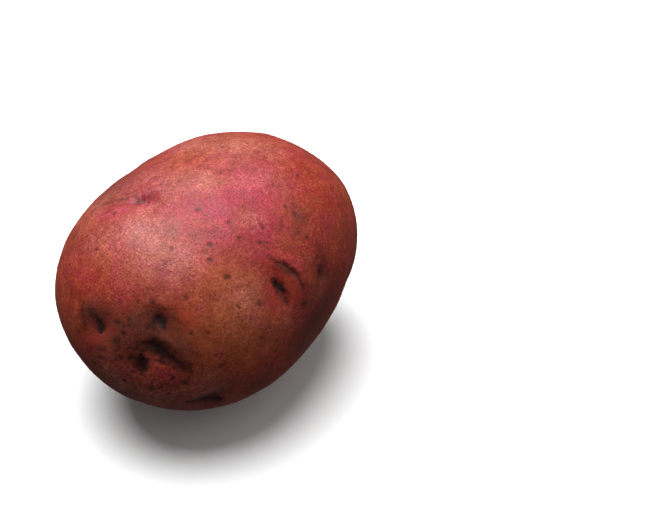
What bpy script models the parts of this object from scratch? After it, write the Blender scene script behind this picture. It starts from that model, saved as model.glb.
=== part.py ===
"""A whole red-skinned potato, modelled as one closed solid.

The tuber lies on a small flat spot on its underside. Its long axis runs along X, with the bud end,
where most of the eyes sit, at -X and the stem end, where it grew on its stolon, at +X. Z points up.
The origin is on the resting plane, under the middle of the tuber's bounding box.

Sizes are in metres. A place on the skin is a longitude and a latitude in degrees, as seen from the
middle of the tuber: longitude 0 is +X, longitude 90 is +Y and latitude 90 is +Z.
"""

import bmesh
import bpy
import numpy as np

# Overall sizes.
LENGTH = 0.093           # bud end to stem end, along X
WIDTH = 0.073            # side to side, along Y
HEIGHT = 0.0655          # resting spot to top, along Z

# The rounded underside is pressed flat by this much where it rests.
REST_DEPTH = 0.0009

# Points on the rim of the resting spot that are closer together than this are merged.
SMALLEST_EDGE = 0.0005

# 2 is a plain ellipsoid, and more gives the tuber squarer shoulders.
FULLNESS = 2.1

# Broad unevenness of the tuber: longitude, latitude, spread in degrees and height.
# A height below zero flattens the tuber there.
SWELLS = (
    (155, -25, 40, -0.0035),
    (-65, -15, 30, -0.0025),
    (95, 35, 30, -0.0015),
    (-30, 25, 35, 0.0010),
    (0, 45, 35, 0.0010),
)

# A full-sized eye is a shallow hollow, wider around the tuber than along it.
EYE_WIDTH = 0.016
EYE_LENGTH = 0.009
EYE_DEPTH = 0.0020

# Its brow, the scar of a scale leaf, is a low curved ridge on the side toward the stem end.
BROW_HEIGHT = 0.0006
BROW_DISTANCE = 0.0055
BROW_THICKNESS = 0.0035

# Middle of the bud end, which every eye's brow turns away from.
BUD_END = (-168, 6)

# Eyes: longitude, latitude and size as a share of a full-sized eye.
EYES = (
    (-176, 14, 0.65),
    (-154, 20, 0.65),
    (-154, 10, 0.75),
    (-160, 4, 0.50),
    (-137, -17, 0.80),
    (-103, 23, 1.05),
    (164, 60, 0.90),
    (-76, 17, 0.70),
    (-100, -45, 0.80),
    (150, -38, 0.80),
    (126, -4, 0.90),
    (72, 24, 1.00),
    (66, -14, 0.90),
    (24, 28, 0.85),
    (-46, -18, 0.90),
)

# Round scar where the stolon was attached.
STOLON_SCAR = (4, -6)
STOLON_SCAR_WIDTH = 0.008
STOLON_SCAR_DEPTH = 0.0014

# Quads along each edge of the cube that is rounded into the tuber.
CUBE_SPLITS = 28

SKIN_COLOUR = (0.36, 0.085, 0.045, 1.0)
SKIN_ROUGHNESS = 0.5


def direction(longitude, latitude):
    """Unit vector from the middle of the tuber toward a place on the skin."""
    lon, lat = np.radians((longitude, latitude))
    return np.array((np.cos(lat) * np.cos(lon), np.cos(lat) * np.sin(lon), np.sin(lat)))


def tuber_radius(directions):
    """Distance from the middle to the smooth skin: a rounded box form plus the swells."""
    half_sizes = np.array((LENGTH, WIDTH, HEIGHT + REST_DEPTH)) / 2
    powers = np.abs(directions / half_sizes) ** FULLNESS
    radius = powers.sum(axis=1) ** (-1 / FULLNESS)
    for longitude, latitude, spread, height in SWELLS:
        sharpness = 1 / (1 - np.cos(np.radians(spread)))
        closeness = directions @ direction(longitude, latitude) - 1
        radius = radius + height * np.exp(sharpness * closeness)
    return radius


def smooth_skin(directions):
    """Points of the tuber's skin before any eye is pressed in."""
    return directions * tuber_radius(directions)[:, None]


def local_axes(outward):
    """Tangent toward the stem end and tangent around the tuber, at the skin facing outward."""
    toward_stem = -direction(*BUD_END)
    toward_stem = toward_stem - outward * (toward_stem @ outward)
    toward_stem = toward_stem / np.linalg.norm(toward_stem)
    return toward_stem, np.cross(outward, toward_stem)


def eye_relief(skin, longitude, latitude, size):
    """Height that one eye adds to each skin point: its hollow, and its brow beside the hollow."""
    outward = direction(longitude, latitude)
    toward_stem, around = local_axes(outward)
    offset = skin - smooth_skin(outward[None])
    along = offset @ toward_stem / size
    across = offset @ around / size
    inward = offset @ outward / size
    side = (2 * across / EYE_WIDTH) ** 2 + (2 * inward / EYE_WIDTH) ** 2
    hollow = EYE_DEPTH * np.exp(-(2 * along / EYE_LENGTH) ** 2 - side)
    brow_line = BROW_DISTANCE - across ** 2 / EYE_WIDTH
    brow = BROW_HEIGHT * np.exp(-(2 * (along - brow_line) / BROW_THICKNESS) ** 2 - side)
    return size * (brow - hollow)


def stolon_scar_relief(skin):
    """Depth, below zero, of the round stolon scar at each skin point."""
    middle = smooth_skin(direction(*STOLON_SCAR)[None])
    distance = np.linalg.norm(skin - middle, axis=1)
    return -STOLON_SCAR_DEPTH * np.exp(-(2 * distance / STOLON_SCAR_WIDTH) ** 2)


def potato_points(directions):
    """Finished skin points: the smooth tuber with its eyes and scar, fitted to the overall sizes."""
    skin = smooth_skin(directions)
    relief = stolon_scar_relief(skin)
    for longitude, latitude, size in EYES:
        relief = relief + eye_relief(skin, longitude, latitude, size)
    points = skin + directions * relief[:, None]
    overall = np.array((LENGTH, WIDTH, HEIGHT + REST_DEPTH))
    low, high = points.min(axis=0), points.max(axis=0)
    points = (points - (low + high) / 2) * overall / (high - low)
    lift = (0, 0, HEIGHT - points[:, 2].max())
    return points + lift


def cube_directions(bm):
    """Evenly spread unit vectors toward the vertices of a cube of half-side 1."""
    corners = np.array([vert.co[:] for vert in bm.verts])
    spread = np.tan(corners * np.pi / 4)
    return spread / np.linalg.norm(spread, axis=1)[:, None]


def press_resting_spot(bm):
    """Split the faces along the resting plane and press what lies below it flat against it."""
    everything = bm.verts[:] + bm.edges[:] + bm.faces[:]
    bmesh.ops.bisect_plane(bm, geom=everything, dist=1e-6, plane_co=(0, 0, 0), plane_no=(0, 0, 1))
    bmesh.ops.remove_doubles(bm, verts=bm.verts[:], dist=SMALLEST_EDGE)
    for vert in bm.verts:
        vert.co.z = max(vert.co.z, 0)


def potato_mesh():
    """Closed mesh of the tuber: a finely split cube rounded out to the skin, flat where it rests."""
    bm = bmesh.new()
    bmesh.ops.create_cube(bm, size=2)
    bmesh.ops.subdivide_edges(bm, edges=bm.edges[:], cuts=CUBE_SPLITS - 1, use_grid_fill=True)
    for vert, point in zip(bm.verts, potato_points(cube_directions(bm))):
        vert.co = point
    press_resting_spot(bm)
    bmesh.ops.recalc_face_normals(bm, faces=bm.faces[:])
    mesh = bpy.data.meshes.new("potato")
    bm.to_mesh(mesh)
    bm.free()
    mesh.shade_smooth()
    return mesh


def skin_material():
    """Dull red-brown potato skin."""
    material = bpy.data.materials.new("potato_skin")
    material.use_nodes = True
    shader = material.node_tree.nodes["Principled BSDF"]
    shader.inputs["Base Color"].default_value = SKIN_COLOUR
    shader.inputs["Roughness"].default_value = SKIN_ROUGHNESS
    shader.inputs["Metallic"].default_value = 0.0
    return material


def build_potato():
    """Put the finished tuber in a collection of its own."""
    collection = bpy.data.collections.new("red_potato")
    bpy.context.scene.collection.children.link(collection)
    mesh = potato_mesh()
    mesh.materials.append(skin_material())
    collection.objects.link(bpy.data.objects.new("potato", mesh))


for leftover in list(bpy.data.objects):
    bpy.data.objects.remove(leftover)
build_potato()
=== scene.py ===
import math

import bpy
import numpy as np
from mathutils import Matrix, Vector


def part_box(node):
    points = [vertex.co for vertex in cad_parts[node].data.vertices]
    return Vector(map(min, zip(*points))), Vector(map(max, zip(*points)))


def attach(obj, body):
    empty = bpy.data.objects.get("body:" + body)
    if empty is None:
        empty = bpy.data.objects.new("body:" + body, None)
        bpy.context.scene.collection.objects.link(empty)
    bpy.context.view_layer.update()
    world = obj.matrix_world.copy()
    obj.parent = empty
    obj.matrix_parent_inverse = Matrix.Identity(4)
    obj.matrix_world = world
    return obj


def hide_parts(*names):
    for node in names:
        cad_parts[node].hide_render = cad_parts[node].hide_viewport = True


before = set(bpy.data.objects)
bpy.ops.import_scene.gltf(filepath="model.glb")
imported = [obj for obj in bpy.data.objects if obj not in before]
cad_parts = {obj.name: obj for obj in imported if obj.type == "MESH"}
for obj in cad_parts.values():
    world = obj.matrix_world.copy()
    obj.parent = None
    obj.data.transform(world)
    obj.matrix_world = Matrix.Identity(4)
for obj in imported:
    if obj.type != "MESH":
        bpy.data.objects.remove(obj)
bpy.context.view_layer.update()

# A whole red-skinned potato on a pale studio floor. One watertight skin stands for the CAD solid.
# Sizes are in metres. A place on the skin is a longitude and a latitude in degrees, seen from the
# middle of the tuber: longitude 0 is +X, the stem end, longitude 90 is +Y and latitude 90 is up.

NODE = "potato"
BOX_LOW, BOX_HIGH = (np.array(corner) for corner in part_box(NODE))
TUBER_MIDDLE = np.array((-0.0010, -0.0001, 0.0320))
MM = 0.001

# ------------------------------------------------------------------ the form of the tuber

# Quads along each edge of the cube whose surface is rounded into the skin.
FACE_SPLITS = 128

# Where the skin's points are drawn together, for fine work: longitude, latitude, spread in
# degrees and pull, the share by which the points close up at the middle.
GATHERINGS = (
    (-158, 10, 15, 0.42),
    (-101, 22, 12, 0.45),
    (157, 57, 12, 0.45),
    (-137, -17, 9, 0.35),
)

# Spread in degrees of the bell that smooths the solid's corners into an even skin, and how many
# directions are worked out at a time, which keeps memory small.
SMOOTHING = 3.0
BATCH = 4096

# Gentle unevenness of the skin: how many waves, their lengths, their height together and a seed.
WAVES = 40
LONGEST_WAVE = 30 * MM
SHORTEST_WAVE = 5 * MM
WAVE_HEIGHT = 0.09 * MM
WAVE_SEED = 3

# How far the outlines of marks wander, over what lengths, and a seed for each axis.
WANDER = 0.22 * MM
LONGEST_WANDER = 4.0 * MM
SHORTEST_WANDER = 1.3 * MM
WANDER_SEEDS = (21, 22, 23)

# The skin is left smooth close to the floor, so that it lies flat, and is fully worked from this
# height up.
REST_CLEARANCE = 2.5 * MM


def unit(vectors):
    """Each row divided by its length."""
    return vectors / np.linalg.norm(vectors, axis=-1, keepdims=True)


def direction(longitude, latitude):
    """Unit vectors toward places: (cos lat cos lon, cos lat sin lon, sin lat)."""
    lon, lat = np.radians(longitude), np.radians(latitude)
    return np.stack((np.cos(lat) * np.cos(lon), np.cos(lat) * np.sin(lon), np.sin(lat)), axis=-1)


def bell_of_angle(directions, middle, spread):
    """exp((cosine of the angle - 1) / (1 - cosine of the spread)): 1 at the middle, 0.37 at it."""
    return np.exp((directions @ middle - 1) / (1 - np.cos(np.radians(spread))))


def solid_corners():
    """The CAD solid's own corners, each once, as seen from the tuber's middle."""
    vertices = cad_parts[NODE].data.vertices
    corners = np.empty(len(vertices) * 3, dtype=np.float32)
    vertices.foreach_get("co", corners)
    return np.unique(corners.reshape(-1, 3).round(6), axis=0) - TUBER_MIDDLE


SOLID_CORNERS = solid_corners()


def tuber_radius(directions):
    """Distance from the middle to the skin: the mean of the solid's corner distances, each
    weighted by a bell of the angle between the corner and the direction."""
    corner_radius = np.linalg.norm(SOLID_CORNERS, axis=1)
    corner_directions = (SOLID_CORNERS / corner_radius[:, None]).T.astype(np.float32)
    sharpness = np.float32(1 / (1 - np.cos(np.radians(SMOOTHING))))
    found = []
    for part in np.array_split(directions.astype(np.float32), 1 + len(directions) // BATCH):
        weights = np.exp(sharpness * (part @ corner_directions - 1))
        found.append(weights @ corner_radius / weights.sum(axis=1))
    return np.concatenate(found)


def cube_skin(splits):
    """Points and quads of a cube's surface. Each side is a square grid of two parameters, and
    the points that neighbouring sides share are kept once, so the surface is closed."""
    u, v = np.meshgrid(np.arange(splits + 1), np.arange(splits + 1), indexing="ij")
    places, quads = [], []
    for axis in range(3):
        for level in (0, splits):
            side = np.empty((splits + 1, splits + 1, 3), dtype=np.int64)
            side[..., axis] = level
            side[..., (axis + 1) % 3] = u
            side[..., (axis + 2) % 3] = v
            index = np.arange(u.size).reshape(u.shape) + len(places) * u.size
            ring = (index[:-1, :-1], index[1:, :-1], index[1:, 1:], index[:-1, 1:])
            quads.append(np.stack(ring if level else ring[::-1], axis=-1).reshape(-1, 4))
            places.append(side.reshape(-1, 3))
    points, kept = np.unique(np.concatenate(places), axis=0, return_inverse=True)
    return points / splits * 2 - 1, kept.reshape(-1)[np.concatenate(quads)]


def gathered(directions):
    """Directions drawn toward each gathering by its pull times a bell of the angle to it."""
    moved = directions.copy()
    for longitude, latitude, spread, pull in GATHERINGS:
        middle = direction(longitude, latitude)
        share = pull * bell_of_angle(directions, middle, spread)
        moved += share[:, None] * (middle - directions)
    return unit(moved)


def gentle_waves(points, seed, longest, shortest, height):
    """Sum of cosines with random headings, phases and wavelengths, the longer ones higher, scaled
    so that its root mean square is the height."""
    draw = np.random.default_rng(seed)
    heading = unit(draw.normal(size=(WAVES, 3)))
    length = shortest * (longest / shortest) ** draw.random(WAVES)
    phase = draw.random(WAVES) * 2 * np.pi
    swing = length / np.sqrt((length ** 2).sum() / 2)
    return height * np.cos(points @ (heading / length[:, None]).T * 2 * np.pi + phase) @ swing


# ------------------------------------------------------------------ working the skin

# Stains that the finish reads, each a strength from 0 to 1 at every point of the skin. The finish
# gives the first row ragged edges, breaks up the second and lays the third on softly.
# In the third row, the last stain is painted shade and the pale one is paler skin partly painted
# with sheen.
STAINS = (
    "pit", "line", "lenticel", "bud",
    "bark", "smudge",
    "flush", "pink", "tan", "ruddy", "scurf", "pale_and_sheen", "painted_shade",
)

# A mark has no effect past this many widths, and its ends keep this share of its width.
MARK_REACH = 2.5
NARROWEST = 0.02

# Height of a bud as a share of its width, in the eyes worked one by one and in plain ones.
BUD_HEIGHT = 0.45
PLAIN_BUD_HEIGHT = 0.40


def curve_through(places, steps=10):
    """Directions along a smooth Catmull-Rom curve through places on the tuber."""
    knots = direction(*np.array(places, dtype=float).T)
    if len(knots) == 1:
        return knots
    padded = np.concatenate((2 * knots[:1] - knots[1:2], knots, 2 * knots[-1:] - knots[-2:-1]))
    share = np.linspace(0, 1, steps, endpoint=False)[:, None, None]
    before, start, end, after = (padded[i : i + len(knots) - 1] for i in range(4))
    curve = start + 0.5 * share * (
        end - before
        + share * (2 * before - 5 * start + 4 * end - after)
        + share ** 2 * (3 * (start - end) + after - before)
    )
    return unit(np.concatenate((curve.swapaxes(0, 1).reshape(-1, 3), knots[-1:])))


def distance_to_line(points, line):
    """Distance from each point to a line of short straight runs, and the share of its length at
    the nearest spot."""
    if len(line) == 1:
        return np.linalg.norm(points - line[0], axis=1), np.full(len(points), 0.5)
    runs = np.diff(line, axis=0)
    lengths = (runs ** 2).sum(axis=1)
    along = np.einsum("pki,ki->pk", points[:, None] - line[:-1], runs) / lengths
    along = np.clip(along, 0, 1)
    gap = np.linalg.norm(points[:, None] - line[:-1] - along[..., None] * runs, axis=2)
    nearest = gap.argmin(axis=1)
    rows = np.arange(len(points))
    return gap[rows, nearest], (nearest + along[rows, nearest]) / len(runs)


class Skin:
    """The potato's skin while it is worked: its smooth points, how far each is raised, and how
    strongly each is stained."""

    def __init__(self, directions):
        self.directions = directions
        self.smooth = TUBER_MIDDLE + directions * tuber_radius(directions)[:, None]
        self.raised = gentle_waves(
            self.smooth, WAVE_SEED, LONGEST_WAVE, SHORTEST_WAVE, WAVE_HEIGHT
        )
        wander = [
            gentle_waves(self.smooth, seed, LONGEST_WANDER, SHORTEST_WANDER, WANDER)
            for seed in WANDER_SEEDS
        ]
        self.wandering = self.smooth + np.stack(wander, axis=-1)
        self.stains = {name: np.zeros(len(directions)) for name in STAINS}

    def mark(self, places, width, height=0.0, pointed=0.6, **stains):
        """Raise and stain the skin along a curve through places. The height is a bell across the
        curve, exp(-(distance / half the width) squared), and a stain falls evenly to nothing at
        the full width. Both narrow toward the ends as a power of a half sine wave. Where two
        marks leave the same stain, the stronger is kept."""
        headings = curve_through(places)
        line = TUBER_MIDDLE + headings * tuber_radius(headings)[:, None]
        middle = line.mean(axis=0)
        reach = np.linalg.norm(line - middle, axis=1).max() + MARK_REACH * width
        where = np.flatnonzero(np.linalg.norm(self.smooth - middle, axis=1) < reach)
        distance, share = distance_to_line(self.wandering[where], line)
        narrowing = np.maximum(np.sin(np.pi * np.clip(share, 0, 1)), NARROWEST) ** pointed
        half_width = width / 2 * narrowing
        self.raised[where] += height * narrowing * np.exp(-(distance / half_width) ** 2)
        slope = np.clip(1 - distance / (2 * half_width), 0, 1)
        for name, amount in stains.items():
            held = self.stains[name]
            held[where] = np.maximum(held[where], amount * slope)

    def wash(self, stain, *places):
        """Stain the skin softly round places: longitude, latitude, spread in degrees and amount
        of each. The amount, times a bell of the angle, is the share of unstained skin it fills."""
        held = self.stains[stain]
        for longitude, latitude, spread, amount in places:
            bell = bell_of_angle(self.directions, direction(longitude, latitude), spread)
            held += amount * bell * (1 - np.clip(held, 0, 1))

    def finished_points(self):
        """Raised points, level where they rest, stretched by a hair to the CAD solid's box."""
        rest = np.clip(self.smooth[:, 2] / REST_CLEARANCE, 0, 1)
        raised = self.raised * rest ** 2 * (3 - 2 * rest)
        points = self.smooth + self.directions * raised[:, None]
        points[:, 2] = np.maximum(points[:, 2], 0)
        low, high = points.min(axis=0), points.max(axis=0)
        return BOX_LOW + (points - low) / (high - low) * (BOX_HIGH - BOX_LOW)


# ------------------------------------------------------------------ eyes, brows and lenticels


def buds(skin, places):
    """Small glossy domes: longitude, latitude and width in millimetres of each."""
    for longitude, latitude, width in places:
        skin.mark(((longitude, latitude),), width * MM, BUD_HEIGHT * width * MM, bud=1.0)


def main_eye(skin):
    """The large eye on the flank: a slanting slit in a red hollow under a wide curved brow."""
    slit = (
        (-104.6, 29.2), (-103, 26), (-101.8, 22.8), (-101, 19.6), (-100.5, 16.4), (-100.4, 13.4),
    )
    heart = ((-104, 27.6), (-102.6, 24.6), (-100.6, 21.8), (-99.2, 20.4))
    tail = ((-101.2, 21), (-100.7, 17.6), (-100.4, 13.8))
    brow = (
        (-104, 37), (-98.6, 33.9), (-95.4, 30.2), (-92.6, 25.6), (-91.6, 20.6), (-92, 15),
        (-92.6, 10.5),
    )
    ridge = ((-103, 39), (-97, 35.5), (-91, 29.5), (-88.6, 21), (-90, 13))
    crescent = ((-101.4, 34), (-98.8, 32.6), (-95.8, 29.4), (-93.6, 25.4), (-93, 21))
    skin.mark(slit, 3.0 * MM, -0.50 * MM, pointed=0.4, smudge=0.62)
    skin.mark(heart, 2.5 * MM, -0.40 * MM, pointed=0.5, pit=0.78, smudge=0.80)
    skin.mark(tail, 1.5 * MM, -0.25 * MM, pointed=0.5, pit=0.55)
    buds(skin, (
        (-101.2, 23.0, 1.0), (-100.0, 21.4, 0.9), (-102.4, 21.8, 0.8),
        (-99.0, 22.0, 0.7), (-103.4, 27.2, 0.7), (-101.0, 18.0, 0.7),
    ))
    skin.mark(brow, 1.2 * MM, -0.28 * MM, pointed=0.9, line=0.95)
    skin.mark(brow, 2.6 * MM, smudge=0.34)
    skin.mark(ridge, 3.0 * MM, 0.35 * MM)
    skin.mark(crescent, 1.5 * MM, bark=0.60)
    skin.mark(((-93.2, 26.2),), 1.4 * MM, -0.1 * MM, line=0.8)
    skin.mark(((-92.4, 11.5),), 2.2 * MM, -0.1 * MM, smudge=0.7)
    skin.wash(
        "flush", (-100, 24, 8, 0.85), (-108, 20, 5, 0.70), (-96.5, 15, 4, 0.85), (-105, 35, 5, 0.50)
    )


def flank_eye(skin):
    """The dim eye beyond the large one's brow, a shallow dusky hollow."""
    hollow = ((-77.5, 19), (-74.5, 14))
    slit = ((-77, 17.6), (-75.6, 15.4))
    brow = ((-81, 22), (-75, 23.5), (-70, 18))
    skin.mark(hollow, 6.5 * MM, -0.30 * MM, pointed=0.3, smudge=0.42)
    skin.mark(slit, 2.4 * MM, -0.20 * MM, pointed=0.3, pit=0.25, smudge=0.65)
    skin.mark(brow, 1.1 * MM, -0.15 * MM, line=0.4)
    buds(skin, ((-76.6, 17.4, 0.6), (-75.8, 16.2, 0.6)))


def shoulder_eye(skin):
    """The eye high on the shoulder: a slit in a pink crease that runs on down the side."""
    slit = ((151, 56), (156, 59.4), (160, 63.2), (162, 69))
    heart = ((152.6, 56.8), (158, 61.2))
    upper = ((142, 58), (141, 61.5), (144, 65.5), (154, 70.5))
    crease = ((149, 57.6), (143.8, 52.4), (139.4, 46), (137.6, 41.2), (137.6, 36))
    ridge = ((158, 55), (152, 50.5), (148.5, 43), (147.6, 36))
    far_ridge = ((136, 56), (133.4, 48), (132.6, 40))
    skin.mark(slit, 3.8 * MM, -0.35 * MM, pink=1.0, flush=0.40)
    skin.mark(slit, 2.4 * MM, -0.20 * MM, pointed=0.7, line=0.50)
    skin.mark(heart, 1.5 * MM, -0.20 * MM, pointed=0.5, pit=0.60)
    buds(skin, ((155.2, 59.2, 0.6),))
    skin.mark(upper, 3.0 * MM, -0.10 * MM, pink=0.9, flush=0.70, smudge=0.16)
    skin.mark(crease, 1.0 * MM, -0.30 * MM, pointed=0.9, line=0.65)
    skin.mark(crease, 2.2 * MM, smudge=0.35)
    skin.mark(ridge, 3.2 * MM, 0.30 * MM)
    skin.mark(far_ridge, 2.4 * MM, 0.18 * MM)
    skin.mark(((145.4, 60.5), (147.8, 57)), 2.8 * MM, bark=0.42)
    skin.mark(((146, 75.5), (154, 73.5)), 3.4 * MM, bark=0.36)
    skin.mark(((148, 64), (151, 67)), 3.2 * MM, bark=0.36)
    skin.mark(((142.6, 59.6),), 1.6 * MM, -0.1 * MM, line=0.6)
    skin.wash("flush", (155, 52, 4, 0.35))
    skin.wash(
        "pink", (155, 61, 6, 0.80), (146, 66, 6, 0.90), (158, 66, 5, 0.80), (155, 52, 4, 0.95),
        (151, 46, 4, 0.75),
    )


def upright_eye(skin):
    """The first eye of the bud end, with an upright brow."""
    skin.mark(
        ((-178, 14.8), (-176, 12.8), (-175.2, 11.2)), 3.2 * MM, -0.45 * MM, pit=0.75, smudge=0.85
    )
    skin.mark(((176.6, 17.6), (-180, 16), (-177, 14)), 3.2 * MM, -0.15 * MM, smudge=0.50)
    skin.mark(((174.6, 19), (176.2, 13), (178, 7.5)), 2.4 * MM, -0.2 * MM, line=0.35, smudge=0.50)
    skin.mark(((171, 18), (173, 12), (175, 6)), 3.0 * MM, 0.30 * MM)
    buds(skin, ((-176.6, 13.4, 0.7),))


def smeared_eye(skin):
    """The eye of the bud end that lies highest, under a smeared brown brow."""
    pit = ((-157.6, 21.8), (-154.6, 20.2), (-151.8, 18.8))
    brow = ((-162.6, 21.4), (-157, 22.2), (-151, 22), (-146, 20.8))
    skin.mark(pit, 3.4 * MM, -0.45 * MM, pit=0.75, smudge=0.85)
    skin.mark(brow, 4.0 * MM, smudge=0.42)
    skin.mark(((-162, 25), (-155, 26.6), (-147, 25.4)), 3.0 * MM, 0.25 * MM)
    buds(skin, ((-154.0, 20.5, 0.9), (-153.0, 19.2, 0.6)))


def banded_eye(skin):
    """The long eye of the bud end, a dark band with pits in its upper half."""
    band = (
        (-160, 12.6), (-156, 11), (-152.6, 8.8), (-149.4, 6.4), (-146.4, 3.8), (-142.4, -0.6),
    )
    skin.mark(band, 3.8 * MM, -0.40 * MM, pointed=0.8, smudge=0.72)
    skin.mark(((-160.2, 13), (-156, 11), (-151.4, 8)), 3.8 * MM, -0.35 * MM, pit=0.72, smudge=0.80)
    skin.mark(((-153, 9), (-149.4, 6.4), (-147, 4.4)), 1.9 * MM, -0.2 * MM, pit=0.50)
    skin.mark(((-153, 13), (-149, 11), (-146, 8)), 4.2 * MM, smudge=0.38)
    skin.mark(((-157, 15.5), (-150, 12.6), (-142.5, 4)), 3.0 * MM, 0.30 * MM)
    buds(skin, ((-156.4, 11.4, 0.8), (-153.6, 9.6, 0.9)))


def tip_eye(skin):
    """The round eye at the very tip, with a small one beside it."""
    tip = ((-160, 7.4), (-160.2, 4.4), (-160.4, 1.2))
    beside = ((-153.8, 7), (-153.4, 5.4))
    skin.mark(tip, 4.0 * MM, -0.45 * MM, pointed=0.35, pit=0.62, smudge=0.80)
    skin.mark(beside, 2.8 * MM, -0.25 * MM, pointed=0.3, pit=0.4, smudge=0.75)
    buds(skin, ((-159.7, 4.8, 0.9), (-153.6, 6.2, 0.7)))


# Specks of the bud end: how many, the place that they crowd round, how far they spread in
# degrees, and the seed of their draw.
SPECKS = 60
SPECK_MIDDLE = (-160, 6)
SPECK_SPREAD = 10.0
SPECK_SEED = 4


def specks(skin):
    """Small dark dots, crowded most closely round the tip of the bud end."""
    draw = np.random.default_rng(SPECK_SEED)
    places = SPECK_MIDDLE + SPECK_SPREAD * draw.normal(size=(2, SPECKS)).T
    for place, chance in zip(places, draw.random(SPECKS)):
        skin.mark((place,), (0.9 + 0.6 * chance) * MM, -0.10 * MM, pit=0.85)


def bud_end(skin):
    """The crowded eyes of the bud end, with red and pale flesh, scurf and specks between them."""
    upright_eye(skin)
    smeared_eye(skin)
    banded_eye(skin)
    tip_eye(skin)
    skin.wash("pale_and_sheen", (-152, 1, 7, 0.30), (-160, -2, 6, 0.25))
    skin.wash(
        "flush", (-152, 1, 7, 0.95), (-160, -2, 6, 0.75), (-178, 8.5, 5, 0.80), (-170, 2, 5, 0.55),
        (-144, 21, 4, 0.80),
    )
    skin.wash(
        "scurf", (-164, 18, 6, 0.85), (-169, 13, 5, 0.50), (-157, 17, 5, 0.85), (-150, 16, 5, 0.65),
        (-146, 10, 5, 0.55), (-163, 10, 5, 0.40), (-176, 18, 5, 0.65), (178, 17, 4, 0.60),
    )
    specks(skin)


def belly_eye(skin):
    """The dark eye low on the belly, close to the floor."""
    skin.mark(((-147, -15), (-140, -18), (-132, -20.5)), 5.0 * MM, -0.4 * MM, smudge=0.75)
    skin.mark(((-144, -17), (-138, -19)), 2.0 * MM, -0.2 * MM, pit=0.5)


# Plain eyes round the rest of the tuber: longitude, latitude, size as a share of a full-sized
# eye, and lean in degrees of the slit from square to the tuber's length.
PLAIN_EYES = (
    (-100, -45, 0.80, 8),
    (150, -38, 0.80, -12),
    (126, -4, 0.90, 10),
    (72, 24, 1.00, -8),
    (66, -14, 0.90, 14),
    (24, 28, 0.85, -14),
    (-46, -18, 0.90, 6),
)

# The tip of the bud end, which plain eyes face away from.
BUD_END = (-168, 6)


def eye_places(longitude, latitude, lean, size, offsets):
    """Places round an eye from offsets in millimetres: across the tuber, and toward its stem."""
    outward = direction(longitude, latitude)
    toward_stem = -direction(*BUD_END)
    toward_stem = unit(toward_stem - outward * (toward_stem @ outward))
    around = np.cross(outward, toward_stem)
    turn = math.radians(lean)
    across = around * math.cos(turn) + toward_stem * math.sin(turn)
    along = toward_stem * math.cos(turn) - around * math.sin(turn)
    radius = tuber_radius(outward[None])[0]
    offsets = np.array(offsets) * size * MM / radius
    headings = unit(outward + offsets[:, :1] * across + offsets[:, 1:] * along)
    longitudes = np.degrees(np.arctan2(headings[:, 1], headings[:, 0]))
    latitudes = np.degrees(np.arcsin(headings[:, 2]))
    return tuple(zip(np.unwrap(longitudes, period=360), latitudes))


def plain_eye(skin, longitude, latitude, size, lean):
    """A whole eye: a bent slit with four buds, and a brow that arches on the stem side of it."""

    def at(*offsets):
        return eye_places(longitude, latitude, lean, size, offsets)

    slit = at((-4.8, 1), (-2, 0), (1.5, -0.1), (5, 0.9))
    skin.mark(slit, 3.2 * size * MM, -0.5 * size * MM, smudge=0.70)
    skin.mark(slit, 1.4 * size * MM, -0.35 * size * MM, pointed=0.8, pit=0.7)
    skin.mark(at((-1.8, 0), (1.6, 0.1)), 2.1 * size * MM, -0.3 * size * MM, pit=0.75)
    for across, along, width in (
        (-1.9, 0.1, 0.8), (-0.4, -0.2, 0.7), (0.6, 0.3, 0.9), (2.3, 0.2, 0.7),
    ):
        dome = width * size * MM
        skin.mark(at((across, along)), dome, PLAIN_BUD_HEIGHT * dome, bud=1.0)
    brow = at((-8, 1.5), (-5, 4.4), (0, 5.8), (5.2, 4.6), (8, 2))
    skin.mark(brow, 0.9 * size * MM, -0.28 * size * MM, pointed=0.9, line=0.85)
    skin.mark(brow, 2.4 * size * MM, smudge=0.4)
    skin.mark(at((-6, 5.8), (0, 7.5), (6, 6)), 3.2 * size * MM, 0.32 * size * MM)
    skin.mark(at((-4, 3.6), (0, 4.9), (4.2, 3.9)), 1.5 * size * MM, bark=0.5)
    skin.wash("flush", (longitude, latitude, 8 * size, 0.85))


# The scar at the stem end: its place, and how far round it its rim lies, in degrees.
STEM_SCAR = (4, -6)
SCAR_RADIUS = 5.2


def stolon_scar(skin):
    """The round corky scar at the stem end, with a raised rim and the stub of the stolon."""
    skin.mark((STEM_SCAR,), 6.5 * MM, -0.5 * MM, bark=0.8)
    skin.mark((STEM_SCAR,), 2.6 * MM, 0.9 * MM, bark=1.0)
    skin.mark((STEM_SCAR,), 1.2 * MM, -0.8 * MM, pit=0.8)
    turns = np.radians(np.arange(0, 361, 30))
    rim = STEM_SCAR + SCAR_RADIUS * np.stack((np.cos(turns), np.sin(turns)), axis=-1)
    skin.mark(rim, 1.5 * MM, 0.3 * MM, pointed=0.0)
    skin.wash("scurf", (*STEM_SCAR, 9, 0.6))


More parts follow.
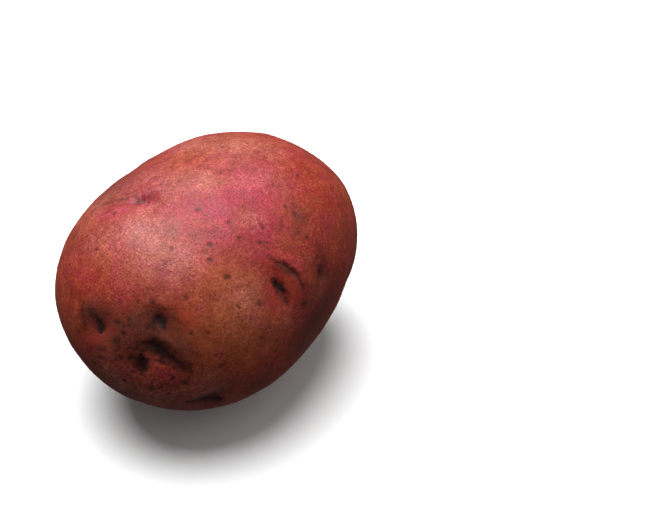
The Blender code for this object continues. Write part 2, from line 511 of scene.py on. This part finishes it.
# The larger lenticels of the bud end and the flanks: longitude, latitude and width in
# millimetres.
LARGE_LENTICELS = (
    (177, 51, 0.8), (-140, 65, 1.7), (-117, 56, 1.4), (167, 35, 1.5), (149, 21, 0.9),
    (158, 24, 0.8), (-133, 48, 1.4), (-134, 42, 1.4), (-155, 46, 1.2), (-128, 35, 1.7),
    (-145, 29, 1.7), (-115, 49, 1.1), (-103, 44, 1.2), (-100, 43, 1.0), (-101, 45, 0.8),
    (-98, 42, 0.8), (-96, 49, 1.3), (-72, 44, 1.3), (-71, 49, 1.2), (-76, 34, 1.2),
    (-45, 27, 0.9), (-115, 22, 1.5), (-125, 23, 0.9), (-133, 2, 1.6), (156, 35, 0.8),
    (-165, 17, 1.0), (-163, 18, 1.0), (-169, 11, 1.2), (-173, 6, 1.2), (-173, 3, 1.1),
    (-168, 8, 1.3), (-167, 6, 1.3), (-162, 10, 0.9), (-164, 0, 0.9), (-152, -3, 1.0),
    (-148, -3, 0.9), (-145, -2, 0.9), (-148, -8, 1.0), (-155, 16, 0.9), (-170, 24, 1.1),
    (-163, 26, 1.1), (180, 2, 1.1), (-140, -1, 0.8), (-154, -5, 0.9), (-129, -6, 0.9),
    (-139, -8, 0.8), (-117, 8, 0.8), (-111, -1, 0.9), (-144, 13, 1.0), (-135, 7, 0.8),
)

# The rest are scattered over the whole tuber: how many, their widths, how far in degrees each
# strays from an even spiral, and the seed of their draw.
SCATTERED_LENTICELS = 460
SMALLEST_LENTICEL = 0.4 * MM
LARGEST_LENTICEL = 1.3 * MM
LATITUDE_STRAY = 4
LONGITUDE_STRAY = 6
LENTICEL_SEED = 11

# The turn between neighbours on the spiral, in degrees, and the nearest that one comes to a pole.
GOLDEN_ANGLE = 137.508
HIGHEST_LATITUDE = 88


def scattered_places(count, seed):
    """Places on a spiral with equal areas between turns, each moved a little at random, and a
    chance from 0 to 1 for each."""
    draw = np.random.default_rng(seed)
    step = np.arange(count) + 0.5
    latitude = np.degrees(np.arcsin(1 - 2 * step / count))
    latitude += draw.normal(size=count) * LATITUDE_STRAY
    longitude = step * GOLDEN_ANGLE + draw.normal(size=count) * LONGITUDE_STRAY
    latitude = np.clip(latitude, -HIGHEST_LATITUDE, HIGHEST_LATITUDE)
    return longitude % 360 - 180, latitude, draw.random(count)


def lenticels(skin):
    """Small corky breathing pores: a shallow pit in a faintly raised ring."""
    for longitude, latitude, width in LARGE_LENTICELS:
        skin.mark(((longitude, latitude),), 1.7 * width * MM, 0.04 * MM)
        skin.mark(((longitude, latitude),), width * MM, -0.12 * MM, lenticel=1.0)
    longitudes, latitudes, chances = scattered_places(SCATTERED_LENTICELS, LENTICEL_SEED)
    widths = SMALLEST_LENTICEL + (LARGEST_LENTICEL - SMALLEST_LENTICEL) * chances ** 4
    for longitude, latitude, width in zip(longitudes, latitudes, widths):
        skin.mark(((longitude, latitude),), width, -0.08 * width, lenticel=0.85)


# Broad washes of each stain: longitude, latitude, spread in degrees and amount.
WASHES = {
    "pink": (
        (-125, 66, 13, 0.90), (-85, 66, 13, 0.75), (-100, 50, 10, 0.80), (-60, 60, 12, 0.45),
        (-130, 52, 8, 0.60), (-40, 72, 14, 0.50), (-160, 66, 7, 0.60), (-106, 41, 5, 0.80),
        (168, 52, 5, 0.45), (-170, 58, 12, 0.40), (176, 44, 10, 0.35), (-152, 40, 9, 0.35),
        (60, 45, 20, 0.45), (10, 30, 18, 0.40), (85, -10, 15, 0.40), (135, 72, 10, 0.50),
        (120, 60, 12, 0.35),
    ),
    # Paler skin, partly a painted sheen over the shoulder and the top.
    "pale_and_sheen": (
        (180, 50, 8, 0.85), (170, 57, 5, 0.45), (-165, 42, 7, 0.35), (128, 66, 10, 0.40),
        (-149, 41, 7, 0.50), (-161, 50, 7, 0.20), (-125, 82, 6, 0.60), (50, 60, 12, 0.55),
        (5, 66, 12, 0.60), (-15, 56, 8, 0.40), (20, 5, 10, 0.40), (-120, 25, 8, 0.40),
        (-170, -6, 8, 0.45), (-145, -12, 10, 0.35), (100, 20, 12, 0.40), (-100, 55, 5, 0.40),
        (138, 69, 10, 0.30), (172, 80, 8, 0.30), (-53, 58, 8, 0.30), (180, 60, 8, 0.30),
        (162, 38, 7, 0.45), (-172, 0, 7, 0.60), (-160, -8, 9, 0.70), (-138, -9, 9, 0.35),
        (-66, 70, 7, 0.20), (128, 46, 9, 0.50), (140, 38, 8, 0.35),
    ),
    "tan": (
        (-130, 14, 17, 1.00), (-122, 30, 11, 0.80), (-140, 26, 10, 0.60), (-112, 8, 10, 0.60),
        (10, 66, 14, 0.50), (45, 64, 12, 0.50), (166, 8, 8, 0.50), (60, -40, 30, 0.60),
        (160, -25, 18, 0.50), (-60, -30, 22, 0.50), (100, 0, 18, 0.55), (-160, -12, 12, 0.60),
        (40, 10, 12, 0.60), (-20, 0, 14, 0.50), (173, 29, 7, 0.40), (-168, 34, 8, 0.35),
        (-156, 37, 7, 0.30),
    ),
    "ruddy": (
        (178, 26, 12, 0.90), (-164, 31, 9, 0.70), (164, 18, 8, 0.60), (-50, 35, 17, 1.00),
        (-65, 30, 10, 0.80), (-35, 52, 12, 0.80), (-88, 34, 8, 0.70), (-72, 20, 8, 0.60),
        (0, 10, 22, 0.60), (45, 20, 18, 0.50), (130, 15, 16, 0.55), (118, 40, 10, 0.40),
        (-168, 25, 8, 0.85), (-157, 27, 7, 0.45), (-107, 20, 7, 0.90), (-102, 32, 6, 0.75),
        (-86, 26, 9, 0.85), (-69, 13, 9, 0.60), (-64, 42, 9, 0.40), (-78, 35, 8, 0.45),
        (-147, 50, 7, 0.40), (-128, 64, 7, 0.25), (173, 29, 7, 0.30),
    ),
    # Painted shade: the skin darkened on the flank, the belly and the far shoulder where shade
    # fell.
    "painted_shade": (
        (-84, -3, 17, 0.52), (-78, 3, 11, 0.36), (-94, -9, 11, 0.30), (-75, 16, 5, 0.30),
        (-137, -17, 7, 0.50), (-118, -18, 8, 0.50), (122, 52, 12, 0.35), (150, 30, 6, 0.20),
        (128, 46, 8, 0.25), (-108, 7, 8, 0.16), (-94, -2, 9, 0.20),
    ),
    "scurf": (
        (-70, 42, 4, 0.55), (-79, 39, 3, 0.45), (-66, 47, 3, 0.35), (100, 45, 12, 0.30),
        (30, 62, 12, 0.20), (-20, -40, 25, 0.35), (30, -10, 12, 0.35), (-178, 12, 6, 0.35),
        (-158, 27, 7, 0.25),
    ),
}


def worked_skin():
    """The whole skin's finished points, quads and stains."""
    cube, quads = cube_skin(FACE_SPLITS)
    skin = Skin(gathered(unit(np.tan(cube * np.pi / 4))))
    main_eye(skin)
    flank_eye(skin)
    shoulder_eye(skin)
    bud_end(skin)
    belly_eye(skin)
    for longitude, latitude, size, lean in PLAIN_EYES:
        plain_eye(skin, longitude, latitude, size, lean)
    stolon_scar(skin)
    lenticels(skin)
    for stain, places in WASHES.items():
        skin.wash(stain, *places)
    return skin.finished_points(), quads, skin.stains


def mesh_object(name, points, quads, stains):
    """A smooth-shaded mesh object with its stains as point attributes."""
    mesh = bpy.data.meshes.new(name)
    mesh.vertices.add(len(points))
    mesh.vertices.foreach_set("co", points.astype(np.float32).ravel())
    mesh.loops.add(quads.size)
    mesh.loops.foreach_set("vertex_index", quads.astype(np.int32).ravel())
    mesh.polygons.add(len(quads))
    mesh.polygons.foreach_set("loop_start", np.arange(0, quads.size, 4, dtype=np.int32))
    mesh.update(calc_edges=True)
    mesh.shade_smooth()
    for stain, strength in stains.items():
        layer = mesh.attributes.new(stain, "FLOAT", "POINT")
        layer.data.foreach_set("value", strength.astype(np.float32))
    made = bpy.data.objects.new(name, mesh)
    bpy.context.scene.collection.objects.link(made)
    return made


# ------------------------------------------------------------------ the skin's finish

# Colours of the skin, as linear red, green and blue.
RED_SKIN = (0.260, 0.028, 0.015)
RUDDY_SKIN = (0.225, 0.012, 0.005)
TAN_SKIN = (0.345, 0.076, 0.024)
PINK_SKIN = (0.315, 0.017, 0.052)
# The pale colours stand partly for paler skin and partly for painted sheen.
PALE_SKIN_AND_SHEEN = (0.400, 0.130, 0.108)
PALE_FLECK_AND_SHEEN = (0.560, 0.240, 0.200)
LIGHT_FLECK = (0.460, 0.110, 0.060)
FLUSHED_SKIN = (0.345, 0.025, 0.015)
# Painted shade: the dark laid on the skin where shade fell.
PAINTED_SHADE_SKIN = (0.040, 0.012, 0.012)
SCURF_BROWN = (0.060, 0.016, 0.008)
SMUDGE_DARK = (0.026, 0.006, 0.005)
BARK_BROWN = (0.080, 0.034, 0.012)
PORE_BROWN = (0.120, 0.012, 0.007)
LENTICEL_BROWN = (0.060, 0.010, 0.007)
LINE_BROWN = (0.060, 0.007, 0.005)
PIT_DARK = (0.010, 0.003, 0.004)
# Greyish bud tissue, lightened in part as a painted glint.
BUD_GREY_AND_GLINT = (0.080, 0.038, 0.048)

# Soft washes of the skin from the lowest up: colour, stain, amount, and how far the skin's
# unevenness breaks it up.
SOFT_WASHES = (
    (TAN_SKIN, "tan", 0.90, 0.9),
    (RUDDY_SKIN, "ruddy", 0.85, 0.8),
    (PINK_SKIN, "pink", 0.95, 1.1),
    # Paler skin together with painted sheen.
    (PALE_SKIN_AND_SHEEN, "pale_and_sheen", 0.58, 0.8),
    (FLUSHED_SKIN, "flush", 0.90, 0.6),
)

# Patches of the skin's patterns to the metre, from the broadest to the finest, and the middle
# stretch of noise that is drawn out to full contrast.
BROAD_SCALE = 60
PATCH_SCALE = 125
TURN_SCALE = 190
MOTTLE_SCALE = 270
BLOTCH_SCALE = 600
PORE_SCALE = 1500
TOOTH_SCALE = 2200
SPECKLE_SCALE = 2400
CONTRAST = (0.32, 0.68)

# Height that a full step of the finish's bump stands for, and how much of it shows.
BUMP_HEIGHT = 0.25 * MM
BUMP_STRENGTH = 0.55

# Gloss of sound skin: its least roughness and its share of specular light.
SKIN_ROUGHNESS = 0.38
SKIN_SPECULAR = 0.25


class Finish:
    """A material under construction, with one short method for each kind of node."""

    def __init__(self, name):
        self.material = bpy.data.materials.new(name)
        self.material.use_nodes = True
        self.tree = self.material.node_tree
        self.shader = self.tree.nodes["Principled BSDF"]
        self.where = self.add("ShaderNodeTexCoord").outputs["Object"]

    def add(self, kind, settings=(), inputs=()):
        """Add a node, set its settings, then link or fill its inputs."""
        node = self.tree.nodes.new(kind)
        for name, value in dict(settings).items():
            setattr(node, name, value)
        for name, value in dict(inputs).items():
            self.feed(node.inputs[name], value)
        return node

    def feed(self, socket, value):
        """Link a socket to another, or write a plain value or colour in it."""
        if isinstance(value, bpy.types.NodeSocket):
            self.tree.links.new(value, socket)
        elif isinstance(value, tuple) and len(value) == 3 and socket.type == "RGBA":
            socket.default_value = (*value, 1.0)
        else:
            socket.default_value = value

    def noise(self, per_metre, detail=3.0, roughness=0.5, distortion=0.0):
        """Smooth random pattern from 0 to 1, with so many patches to the metre."""
        inputs = {"Vector": self.where, "Scale": per_metre, "Detail": detail}
        inputs.update({"Roughness": roughness, "Distortion": distortion})
        return self.add("ShaderNodeTexNoise", inputs=inputs).outputs["Fac"]

    def cells(self, per_metre):
        """Random cells: the distance to each cell's middle, and a colour of its own."""
        node = self.add("ShaderNodeTexVoronoi", inputs={"Vector": self.where, "Scale": per_metre})
        return node.outputs["Distance"], node.outputs["Color"]

    def stain(self, name):
        """How strongly the skin is stained here."""
        return self.add("ShaderNodeAttribute", {"attribute_name": name}).outputs["Fac"]

    def red_of(self, colour):
        """The red share of a colour."""
        return self.add("ShaderNodeSeparateColor", inputs={"Color": colour}).outputs["Red"]

    def sums(self, operation, first, second, third=0.0, clamp=False):
        """One step of arithmetic."""
        settings = {"operation": operation, "use_clamp": clamp}
        return self.add("ShaderNodeMath", settings, {0: first, 1: second, 2: third}).outputs[0]

    def product(self, first, second, clamp=False):
        """One value times another."""
        return self.sums("MULTIPLY", first, second, clamp=clamp)

    def layered(self, total, *layers):
        """A value and, added to it, each layer's pattern times its share."""
        for pattern, share in layers:
            total = self.sums("MULTIPLY_ADD", pattern, share, total)
        return total

    def step(self, value, start, end, low=0.0, high=1.0):
        """Smooth step of a value, from low at start to high at end."""
        inputs = {"Value": value, "From Min": start, "From Max": end, "To Min": low, "To Max": high}
        settings = {"interpolation_type": "SMOOTHSTEP"}
        return self.add("ShaderNodeMapRange", settings, inputs).outputs["Result"]

    def blend(self, under, over, share):
        """Lay one colour over another."""
        node = self.add("ShaderNodeMix", {"data_type": "RGBA"})
        self.feed(node.inputs["Factor"], share)
        self.feed(node.inputs[6], under)
        self.feed(node.inputs[7], over)
        return node.outputs[2]

    def scaled(self, colour, factor):
        """Make a colour lighter or darker by a factor."""
        inputs = {0: colour, "Scale": factor}
        return self.add("ShaderNodeVectorMath", {"operation": "SCALE"}, inputs).outputs["Vector"]


class SkinFinish(Finish):
    """Potato skin: red over tan with pink and ruddy washes, pale skin and flecks that are partly
    painted sheen, painted shade, fine dark pores, corky scurf, lenticels, brow lines, near-black
    pits and buds lightened in part as painted glints, each with its own relief and gloss."""

    def __init__(self):
        super().__init__("potato_skin")
        self.patch = self.pattern(PATCH_SCALE, roughness=0.6, distortion=0.6)
        self.mottle = self.pattern(MOTTLE_SCALE, roughness=0.6, distortion=0.4)
        self.blotch = self.pattern(BLOTCH_SCALE, roughness=0.6)
        self.tooth = self.pattern(TOOTH_SCALE, roughness=0.65)
        speckle = self.red_of(self.cells(SPECKLE_SCALE)[1])
        self.grain = self.layered(0.0, (self.tooth, 0.35), (speckle, 0.65))
        self.unevenness = self.layered(
            -0.5, (self.patch, 0.40), (self.mottle, 0.35), (self.blotch, 0.25)
        )

        self.gap, cell_colour = self.cells(PORE_SCALE)
        chance = self.step(self.red_of(cell_colour), 0.10, 0.9)
        self.pore = self.product(self.step(self.gap, 0.52, 0.12), chance)

        self.scurf = self.scattered("scurf", 0.95, 0.9)
        self.smudge = self.step(self.scattered("smudge", 1.15, 0.9), 0.04, 0.85)
        self.bark = self.step(self.scattered("bark", 1.0, 1.2), 0.08, 0.60)
        self.lenticel = self.cut("lenticel", 0.15, 0.80, 1.0)
        self.bud = self.cut("bud", 0.35, 0.80, 0.3)

    def pattern(self, per_metre, roughness, distortion=0.0):
        """Noise with its contrast drawn out."""
        return self.step(self.noise(per_metre, 3.0, roughness, distortion), *CONTRAST)

    def scattered(self, stain, amount, scatter):
        """A stain's strength, broken up by the patches, the mottle and the blotches."""
        strength = self.layered(amount, (self.unevenness, scatter))
        return self.product(self.stain(stain), strength, clamp=True)

    def cut(self, stain, start, end, rough):
        """A stain with a ragged edge, pushed in and out by the blotches and the grain."""
        ragged = self.layered(
            self.stain(stain), (self.blotch, 0.15 * rough), (self.grain, 0.25 * rough)
        )
        return self.step(ragged, start + 0.2 * rough, end + 0.2 * rough)

    def washed(self):
        """Red skin over tan, under the soft washes and under turns of hue a few millimetres
        wide, toward tan one way and toward pink the other."""
        broad = self.step(self.noise(BROAD_SCALE), 0.34, 0.66)
        colour = self.blend(RED_SKIN, TAN_SKIN, self.product(broad, 0.35))
        for paint, stain, amount, scatter in SOFT_WASHES:
            colour = self.blend(colour, paint, self.scattered(stain, amount, scatter))
        turn = self.noise(TURN_SCALE, detail=4, roughness=0.6, distortion=1.0)
        colour = self.blend(colour, TAN_SKIN, self.step(turn, 0.50, 0.30, 0.0, 0.42))
        return self.blend(colour, PINK_SKIN, self.step(turn, 0.50, 0.70, 0.0, 0.34))

    def flecked(self, colour):
        """Sparse light flecks, fewer on flushed skin, and paler ones, partly painted sheen, that
        crowd the pale and sheen-painted skin.
        """
        fleck = self.product(self.step(self.grain, 0.30, 1.0), self.step(self.gap, 0.20, 0.60))
        sparse = self.product(fleck, self.step(self.mottle, 0.0, 1.0, 0.20, 0.50))
        sparse = self.product(sparse, self.step(self.stain("flush"), 0.0, 1.0, 1.0, 0.30))
        dense = self.product(fleck, self.scattered("pale_and_sheen", 0.60, 0.4))
        colour = self.blend(colour, LIGHT_FLECK, sparse)
        return self.blend(colour, PALE_FLECK_AND_SHEEN, dense)

    def pored(self, colour):
        """Dark pores and the dark side of the grain."""
        colour = self.blend(colour, PORE_BROWN, self.product(self.pore, 0.52))
        return self.blend(colour, PORE_BROWN, self.step(self.grain, 0.50, 0.0, 0.0, 0.42))

    def shaded(self, colour):
        """Light and dark unevenness of the whole skin."""
        layers = ((self.patch, 0.16), (self.mottle, 0.16), (self.blotch, 0.14), (self.grain, 0.14))
        return self.scaled(colour, self.layered(0.70, *layers))

    def marked(self, colour):
        """Painted shade, scurf, smudges, bark, lenticels, lines, pits and buds, from the lowest up.
        """
        for paint, strength, share in (
            # Painted shade, laid on first.
            (PAINTED_SHADE_SKIN, self.scattered("painted_shade", 0.95, 0.3), 1.00),
            (SCURF_BROWN, self.scurf, 1.00),
            (SMUDGE_DARK, self.smudge, 0.85),
            (BARK_BROWN, self.bark, 0.70),
            (LENTICEL_BROWN, self.lenticel, 0.80),
            (LINE_BROWN, self.cut("line", 0.15, 0.80, 0.7), 0.80),
            (PIT_DARK, self.cut("pit", 0.12, 0.85, 1.0), 0.90),
            # Bud grey, partly a painted glint.
            (BUD_GREY_AND_GLINT, self.bud, 0.55),
        ):
            colour = self.blend(colour, paint, self.product(strength, share))
        return colour

    def roughness(self):
        """Uneven sheen, dull on scurf and bark and glossy on buds."""
        dull = self.sums("MAXIMUM", self.scurf, self.bark)
        layers = ((self.mottle, 0.10), (self.blotch, 0.06), (dull, 0.25), (self.bud, -0.22))
        return self.layered(SKIN_ROUGHNESS, *layers)

    def relief(self):
        """Fine tooth, sunken pores and lenticels, swelling blotches and mottle, coarse smudges."""
        coarse = self.product(self.smudge, self.blotch)
        return self.layered(
            0.0,
            (self.tooth, 0.12),
            (self.pore, -0.30),
            (self.blotch, 0.28),
            (self.mottle, 0.35),
            (self.lenticel, -0.30),
            (coarse, 0.5),
        )


def skin_finish():
    """The finished material of the potato's skin."""
    skin = SkinFinish()
    colour = skin.marked(skin.shaded(skin.pored(skin.flecked(skin.washed()))))
    relief = {"Height": skin.relief(), "Distance": BUMP_HEIGHT, "Strength": BUMP_STRENGTH}
    bump = skin.add("ShaderNodeBump", inputs=relief)
    skin.feed(skin.shader.inputs["Base Color"], colour)
    skin.feed(skin.shader.inputs["Roughness"], skin.roughness())
    skin.feed(skin.shader.inputs["Normal"], bump.outputs["Normal"])
    skin.shader.inputs["Specular IOR Level"].default_value = SKIN_SPECULAR
    skin.shader.inputs["Metallic"].default_value = 0.0
    return skin.material


# ------------------------------------------------------------------ the studio

# The round floor and the backdrop that rings it, with so many points to a circle.
FLOOR_RADIUS = 6.0
BACKDROP_HEIGHT = 4.0
CIRCLE_POINTS = 96
FLOOR_WHITE = (0.86, 0.86, 0.86)

# The air light's strength below and above, and the slopes that it turns between, as sines.
AIR_BELOW = 0.06
AIR_ABOVE = 0.20
AIR_LOW_SLOPE = -0.5
AIR_HIGH_SLOPE = 0.4

# The soft lamps: lean from straight above, the heading it leans toward and the lamp's width, all
# in degrees, and its strength.
LAMPS = (
    ("overhead_softbox", 16, 70, 54, 5.5),
    ("side_softbox", 62, -58, 80, 0.55),
)

# The camera: heading and height of its view, its lens, and how far it stands off. Its axis passes
# to the right of the potato's middle and a little above it.
VIEW_AZIMUTH = math.radians(-52)
VIEW_ELEVATION = math.radians(38)
LENS = 85.0
SENSOR = 36.0
STAND_OFF = 0.424
AIM_RIGHT = 0.0319
AIM_UP = 0.0024


def floor_circle(height):
    """Points of a level circle: the floor's radius times the cosine and sine of equal turns."""
    turn = np.linspace(0, 2 * np.pi, CIRCLE_POINTS, endpoint=False)
    level = np.full(CIRCLE_POINTS, height)
    return np.stack((FLOOR_RADIUS * np.cos(turn), FLOOR_RADIUS * np.sin(turn), level), axis=-1)


def studio_piece(name, points, faces, material):
    """A plain stage mesh, seen by the camera but casting no light or shade on the potato."""
    mesh = bpy.data.meshes.new(name)
    mesh.from_pydata(points.tolist(), [], faces)
    mesh.materials.append(material)
    made = bpy.data.objects.new(name, mesh)
    bpy.context.scene.collection.objects.link(made)
    made.visible_diffuse = False
    made.visible_glossy = False
    made.visible_shadow = False


def floor_finish():
    """Matt white board with a faint tooth."""
    board = Finish("white_board")
    tooth = board.noise(900, detail=2)
    board.feed(board.shader.inputs["Base Color"], FLOOR_WHITE)
    board.feed(board.shader.inputs["Roughness"], board.step(tooth, 0.3, 0.7, 0.85, 0.95))
    return board.material


def backdrop_finish():
    """White board that is lit evenly from behind."""
    board = Finish("lit_board")
    board.shader.inputs["Base Color"].default_value = (0.0, 0.0, 0.0, 1.0)
    board.shader.inputs["Emission Color"].default_value = (1.0, 1.0, 1.0, 1.0)
    board.shader.inputs["Emission Strength"].default_value = 1.0
    return board.material


def studio_air():
    """Dim light from all round, brighter from above than from the floor's side."""
    air = bpy.data.worlds.new("studio_air")
    air.use_nodes = True
    tree = air.node_tree
    toward = tree.nodes.new("ShaderNodeTexCoord")
    parts = tree.nodes.new("ShaderNodeSeparateXYZ")
    strength = tree.nodes.new("ShaderNodeMapRange")
    strength.interpolation_type = "SMOOTHSTEP"
    strength.inputs["From Min"].default_value = AIR_LOW_SLOPE
    strength.inputs["From Max"].default_value = AIR_HIGH_SLOPE
    strength.inputs["To Min"].default_value = AIR_BELOW
    strength.inputs["To Max"].default_value = AIR_ABOVE
    tree.links.new(toward.outputs["Generated"], parts.inputs["Vector"])
    tree.links.new(parts.outputs["Z"], strength.inputs["Value"])
    background = tree.nodes["Background"]
    background.inputs["Color"].default_value = (1.0, 1.0, 1.0, 1.0)
    tree.links.new(strength.outputs["Result"], background.inputs["Strength"])
    return air


def build_boards():
    """The floor, and the backdrop that stands in a ring on its edge."""
    count = CIRCLE_POINTS
    rim = floor_circle(0.0)
    studio_piece("floor", rim, [tuple(range(count))], floor_finish())
    ring = np.concatenate((rim, floor_circle(BACKDROP_HEIGHT)))
    walls = [(i, count + i, count + (i + 1) % count, (i + 1) % count) for i in range(count)]
    studio_piece("backdrop", ring, walls, backdrop_finish())


def build_lamps():
    """The two soft lamps and the dim air light."""
    for name, lean, heading, width, strength in LAMPS:
        lamp = bpy.data.lights.new(name, "SUN")
        lamp.energy = strength
        lamp.angle = math.radians(width)
        softbox = bpy.data.objects.new(name, lamp)
        bpy.context.scene.collection.objects.link(softbox)
        toward = Vector(direction(heading, 90 - lean))
        softbox.rotation_mode = "QUATERNION"
        softbox.rotation_quaternion = toward.to_track_quat("Z", "Y")
    bpy.context.scene.world = studio_air()
    bpy.context.scene.view_settings.view_transform = "Standard"


def build_camera():
    """Camera that looks down on the bud end, standing back along its view axis."""
    sin_a, cos_a = math.sin(VIEW_AZIMUTH), math.cos(VIEW_AZIMUTH)
    sin_e, cos_e = math.sin(VIEW_ELEVATION), math.cos(VIEW_ELEVATION)
    back = Vector((sin_a * cos_e, -cos_a * cos_e, sin_e))
    right = Vector((cos_a, sin_a, 0.0))
    up = back.cross(right)
    middle = Vector((BOX_LOW + BOX_HIGH) / 2)
    lens = bpy.data.cameras.new("studio_camera")
    lens.lens = LENS
    lens.sensor_width = SENSOR
    lens.clip_start = 0.01
    lens.clip_end = 50.0
    camera = bpy.data.objects.new("studio_camera", lens)
    camera.location = middle + back * STAND_OFF + right * AIM_RIGHT + up * AIM_UP
    camera.rotation_mode = "QUATERNION"
    camera.rotation_quaternion = back.to_track_quat("Z", "Y")
    bpy.context.scene.collection.objects.link(camera)
    bpy.context.scene.camera = camera


def build_potato():
    """The skin, riding on the only body and standing for the CAD solid."""
    potato = mesh_object("red_potato", *worked_skin())
    potato.data.materials.append(skin_finish())
    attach(potato, "root")
    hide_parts(NODE)


build_camera()
build_potato()
build_boards()
build_lamps()
